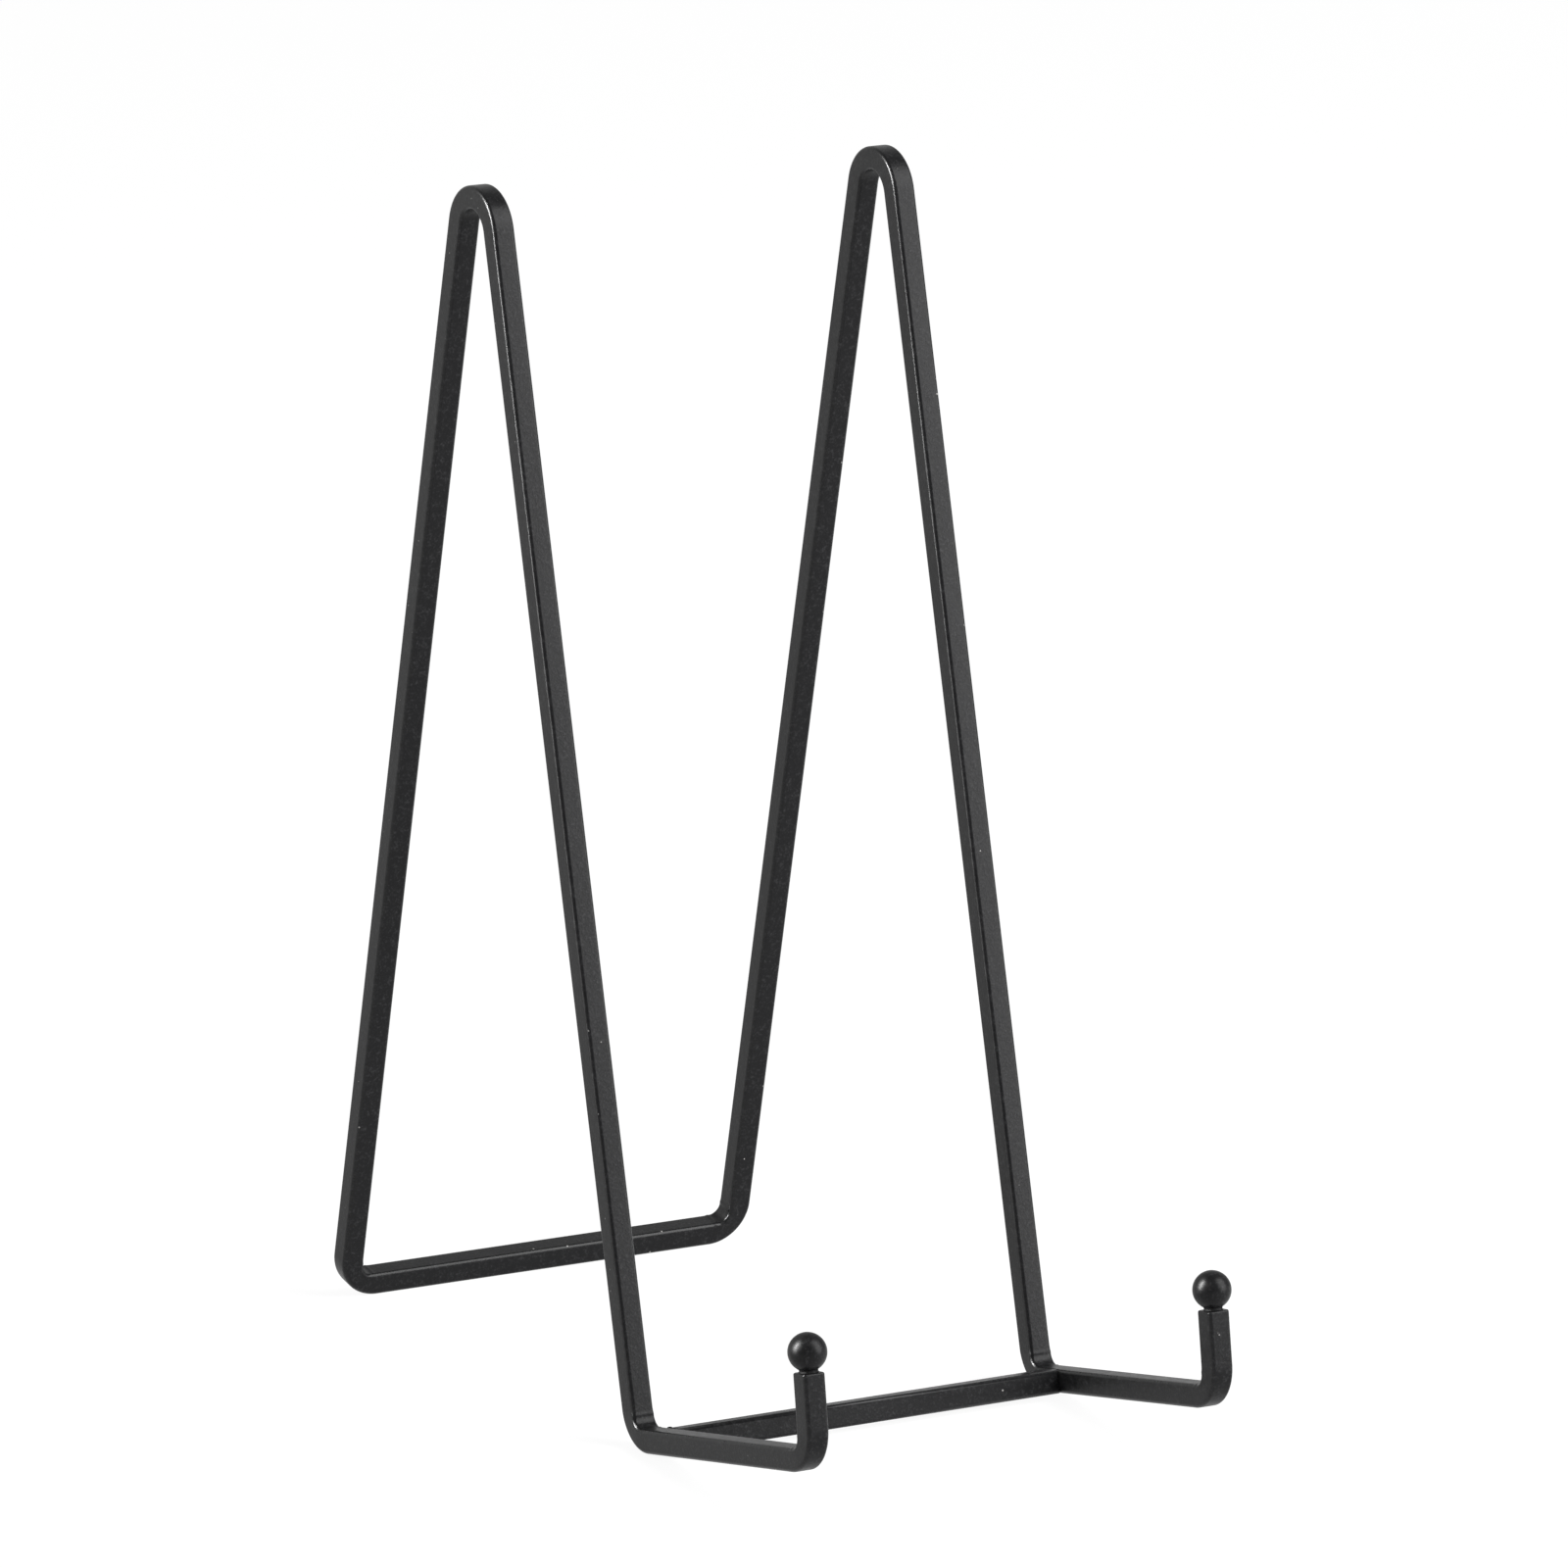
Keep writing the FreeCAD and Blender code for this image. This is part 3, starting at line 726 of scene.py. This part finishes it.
class Finish:
    """The nodes of a material, or of the room, around the main shader that they feed."""

    def __init__(self, owner, shader="Principled BSDF"):
        owner.use_nodes = True
        self.tree = owner.node_tree
        self.shader = self.tree.nodes[shader]

    def put(self, socket, value):
        """Link a flow to a socket, or set the socket to a plain value."""
        if isinstance(value, Flow):
            self.tree.links.new(value.socket, socket)
        else:
            socket.default_value = value

    def node(self, kind, settings=None, inputs=None):
        node = self.tree.nodes.new(kind)
        for name, value in (settings or {}).items():
            setattr(node, name, value)
        for name, value in (inputs or {}).items():
            self.put(node.inputs[name], value)
        return node

    def flow(self, node, output=0):
        return Flow(self, node.outputs[output])

    def feed(self, name, value):
        """Give one of the main shader's own sockets its flow or value."""
        self.put(self.shader.inputs[name], value)

    def mix(self, factor, first, second):
        """The first colour where the factor is 0, and the second where it is 1."""
        inputs = {MIX_FACTOR: factor, MIX_FIRST: first, MIX_SECOND: second}
        return self.flow(self.node("ShaderNodeMix", {"data_type": "RGBA"}, inputs), MIX_RESULT)

    def noise(self, place, size, detail=2, roughness=0.5):
        """Noise from 0 to 1 with features about this size."""
        settings = {"noise_dimensions": "3D"}
        inputs = {"Vector": place, "Scale": 1 / size, "Detail": detail, "Roughness": roughness}
        return self.flow(self.node("ShaderNodeTexNoise", settings, inputs))

# %% [markdown]
# ## Patterns in the powder coat
# The coat is polyester powder, baked on. It varies slowly in thickness, flows into a fine orange peel,
# keeps a grain from the powder, and catches a little dust. An image could hold all this, but it would need
# unwrapping and blur up close. Noise in the stand's own coordinates keeps its size in millimetres on every
# piece. The dust is one small spot in some of the cells of a Voronoi pattern.

# %% Patterns in the powder coat
CLOUD_SIZE = 22 * MM
CLOUD_DETAIL = 3
PEEL_SIZE = 1.3 * MM
GRAIN_SIZE = 0.5 * MM
GRAIN_ROUGHNESS = 0.6
DUST_SPACING = 2.6 * MM
# A spot is full inside the first distance and gone at the second, both as shares of the spacing.
DUST_RADIUS = (0.045, 0.09)
# A cell keeps its spot if its own chance number lies above these.
DUST_CHANCE = (0.87, 0.93)


def coat_patterns(finish):
    """The coat's cloud, peel, grain and dust, each from 0 to 1."""
    place = finish.flow(finish.node("ShaderNodeTexCoord"), "Object")
    cloud = finish.noise(place, CLOUD_SIZE, CLOUD_DETAIL)
    peel = finish.noise(place, PEEL_SIZE)
    grain = finish.noise(place, GRAIN_SIZE, roughness=GRAIN_ROUGHNESS)
    grid = {"Vector": place, "Scale": 1 / DUST_SPACING}
    cells = finish.node("ShaderNodeTexVoronoi", {"feature": "F1"}, grid)
    colours = finish.node("ShaderNodeSeparateColor", {}, {"Color": finish.flow(cells, "Color")})
    chance = finish.flow(colours, "Red").step(*DUST_CHANCE)
    dust = (1 - finish.flow(cells, "Distance").step(*DUST_RADIUS)) * chance
    return cloud, peel, grain, dust

# %% [markdown]
# ## Colour of the coat
# Black powder is never one flat black: where it lies thin or the grain stands up, it looks a little greyer,
# and dust is pale. One plain colour would look like plastic. The cloud, the grain and the peel together
# choose between the deep and the thin colour, and the dust is mixed over that.

# %% Colour of the coat
COAT_COLOUR = (0.0072, 0.0072, 0.0078, 1)
THIN_COLOUR = (0.030, 0.030, 0.0315, 1)
DUST_COLOUR = (0.36, 0.35, 0.34, 1)
MIDDLE = 0.5
CLOUD_TONE = 0.16
GRAIN_TONE = 2.2
PEEL_TONE = 1.2


def coat_colour(finish, cloud, peel, grain, dust):
    mottle = (CLOUD_TONE * cloud + GRAIN_TONE * (grain - MIDDLE) + PEEL_TONE * (peel - MIDDLE)).step(0, 1)
    return finish.mix(dust, finish.mix(mottle, COAT_COLOUR, THIN_COLOUR), DUST_COLOUR)

# %% [markdown]
# ## Gloss and relief of the coat
# A satin coat scatters the light unevenly, is a little smoother over the edges, and dull on dust. The
# relief of the peel and grain is a few hundredths of a millimetre, far too fine to model, so it is a bump.
# It fades out on the rounded edges, where the powder pulls smooth and a bump would break up the highlight.

# %% Gloss and relief of the coat
CLOUD_DULLING = 0.10
PEEL_DULLING = 0.2
DUST_DULLING = 0.25
EDGE_POLISH = 0.08
PEEL_RELIEF = 0.6
GRAIN_RELIEF = 0.5
DUST_RELIEF = 0.5
EDGE_FADE = 0.5
RELIEF_HEIGHT = 0.05 * MM


def coat_roughness(flat, cloud, peel, dust, edge):
    wavering = CLOUD_DULLING * (cloud - MIDDLE) + PEEL_DULLING * (peel - MIDDLE)
    return flat + wavering - EDGE_POLISH * edge + DUST_DULLING * dust


def coat_relief(finish, relief, peel, grain, dust, edge):
    """The bump of the coat. Relief is the share of it that this piece shows."""
    shown = relief - relief * edge.step(0, EDGE_FADE)
    height = (PEEL_RELIEF * (peel - MIDDLE) + GRAIN_RELIEF * (grain - MIDDLE)) * shown + DUST_RELIEF * dust
    inputs = {"Strength": 1.0, "Distance": RELIEF_HEIGHT, "Height": height}
    return finish.flow(finish.node("ShaderNodeBump", {}, inputs))

# %% [markdown]
# ## The coats
# All pieces go through the oven together, but the coat doesn't come out the same: it levels out on the
# small round balls and stays dull on the rough weld metal. One material with a mask for each piece could do
# this. Three materials from one function are easier to follow. A thin clear layer on the rounded edges
# alone gives them their fine bright line.

# %% Coats
EDGE_SHEEN = 0.17
EDGE_SHEEN_ROUGHNESS = 0.3
SPECULAR_LEVEL = 0.13
SATIN = 0.37
DULL = 0.55
FULL_RELIEF = 1.0
BALL_RELIEF = 0.35


def powder_coat(name, roughness, relief):
    material = bpy.data.materials.new(name)
    finish = Finish(material)
    cloud, peel, grain, dust = coat_patterns(finish)
    edge = finish.flow(finish.node("ShaderNodeAttribute", {"attribute_name": "rounded_edge"}), "Fac")
    finish.feed("Base Color", coat_colour(finish, cloud, peel, grain, dust))
    finish.feed("Roughness", coat_roughness(roughness, cloud, peel, dust, edge))
    finish.feed("Normal", coat_relief(finish, relief, peel, grain, dust, edge))
    finish.feed("Coat Weight", EDGE_SHEEN * edge)
    finish.feed("Coat Roughness", EDGE_SHEEN_ROUGHNESS)
    finish.feed("Specular IOR Level", SPECULAR_LEVEL)
    print(f"{name}: {len(finish.tree.nodes)} nodes")
    return material


bar_coat = powder_coat("black_powder_coat_on_bar", SATIN, FULL_RELIEF)
ball_coat = powder_coat("black_powder_coat_on_balls", SATIN, BALL_RELIEF)
weld_coat = powder_coat("black_powder_coat_on_welds", DULL, FULL_RELIEF)
for pieces, coat in (([bar, crossbar], bar_coat), (balls, ball_coat), (beads + necks, weld_coat)):
    for piece in pieces:
        piece.data.materials.clear()
        piece.data.materials.append(coat)

# %% [markdown]
# ## Floor
# The stand is shown on a white surface that runs out of view. White paint would need so much light that the
# black steel turned grey, and a lamp's edge would show on it. So the floor glows by itself, evenly, as a
# light table does, and its paint is dark and matt, so that the lamps change little on it.

# %% Floor
FLOOR_SIZE = 14
FLOOR_PAINT = (0.12, 0.12, 0.12, 1)
FLOOR_ROUGHNESS = 0.9
FLOOR_GLOW = 0.93
WHITE = (1, 1, 1, 1)

floor = start_shape("studio_floor", bpy.ops.mesh.primitive_plane_add, size=FLOOR_SIZE)
floor_paint = bpy.data.materials.new("white_floor")
floor_finish = Finish(floor_paint)
floor_finish.feed("Base Color", FLOOR_PAINT)
floor_finish.feed("Roughness", FLOOR_ROUGHNESS)
floor_finish.feed("Specular IOR Level", 0)
floor_finish.feed("Emission Color", WHITE)
floor_finish.feed("Emission Strength", FLOOR_GLOW)
floor.data.materials.append(floor_paint)
print(f"floor: {FLOOR_SIZE} m square")

# %% [markdown]
# ## Soft boxes
# A satin black piece shows mostly what it reflects, so each lamp is there for one family of faces. A large
# soft box at the front right lights the fronts of the legs. A narrow upright strip at the left, a little
# behind the stand, draws the thin highlights on the edges and the balls. The strip gives no diffuse light,
# because that would leave a patch on the floor. Sun or point lamps would give hard little glints instead.

# %% Soft boxes
LIGHT_AIM = Vector((0, 0, 120)) * MM


def soft_box(name, size, power, turn, rise, distance):
    """A rectangular soft box that faces the stand."""
    lamp = bpy.data.lights.new(name, "AREA")
    lamp.shape = "RECTANGLE"
    lamp.size, lamp.size_y = size
    lamp.energy = power
    box = bpy.data.objects.new(name, lamp)
    bpy.context.collection.objects.link(box)
    away = towards(math.radians(turn), math.radians(rise))
    box.matrix_world = away.to_track_quat("Z", "Y").to_matrix().to_4x4()
    box.location = LIGHT_AIM + away * distance
    box.visible_camera = False
    print(f"{name}: {size} m, {power} W, at", [round(value, 2) for value in box.location], "m")
    return box


left_box = soft_box("left_box", (0.12, 0.75), power=62, turn=-105, rise=25, distance=1.0)
left_box.visible_diffuse = False
soft_box("right_box", (1.0, 1.9), power=51, turn=42, rise=30, distance=1.6)

# %% [markdown]
# ## The room
# Everything that the lamps and the floor don't cover comes from the room. One even grey would light the
# stand flatly, and black would leave the faces that look away from the lamps without any shape. So the room
# is dim in front and at the sides, where the steel has to stay dark, and gets brighter towards the rear, as
# a studio with a white backdrop does.

# %% Room
ROOM_DIM = (0.2, 0.2, 0.2, 1)
ROOM_BRIGHT = (0.8, 0.8, 0.8, 1)
BACKDROP = (0.1, 0.8)

world = bpy.data.worlds.new("studio_room")
room = Finish(world, "Background")
direction = room.flow(room.node("ShaderNodeTexCoord"), "Generated")
rearwards = room.flow(room.node("ShaderNodeSeparateXYZ", {}, {"Vector": direction}), "Y")
room.feed("Color", room.mix(rearwards.step(*BACKDROP), ROOM_DIM, ROOM_BRIGHT))
bpy.context.scene.world = world
print("room:", len(room.tree.nodes), "nodes")
